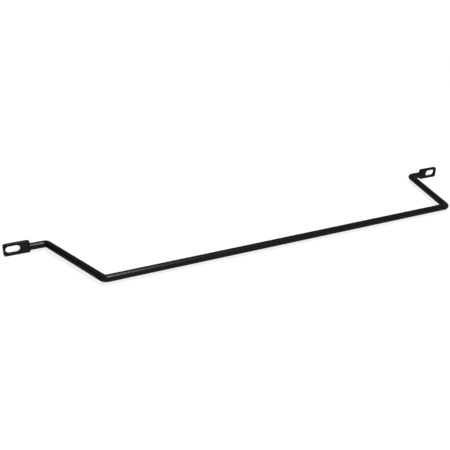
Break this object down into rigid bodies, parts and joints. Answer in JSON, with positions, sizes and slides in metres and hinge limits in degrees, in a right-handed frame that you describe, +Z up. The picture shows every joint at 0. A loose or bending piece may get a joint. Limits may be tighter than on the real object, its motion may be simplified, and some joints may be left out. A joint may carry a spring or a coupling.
{
  "type": "rack cable lacing bar",
  "caption": "Round steel rod bent out from the rack on two leaning legs, with flat slotted tabs for the rack screws; cables are tied along the bar.",
  "frame": {"origin": "centre of the part's bounding box, midway between the tabs and midway between the rack face and the front of the bar", "axes": "+X along the bar, +Y from the bar back to the rack's rails, +Z up"},
  "size_m": [0.4816, 0.0924, 0.0114],
  "materials": {
    "black_powder_coat": "satin"
  },
  "bodies": {
    "root": {"lacing_bar": "black_powder_coat"}
  },
  "joints": []
}
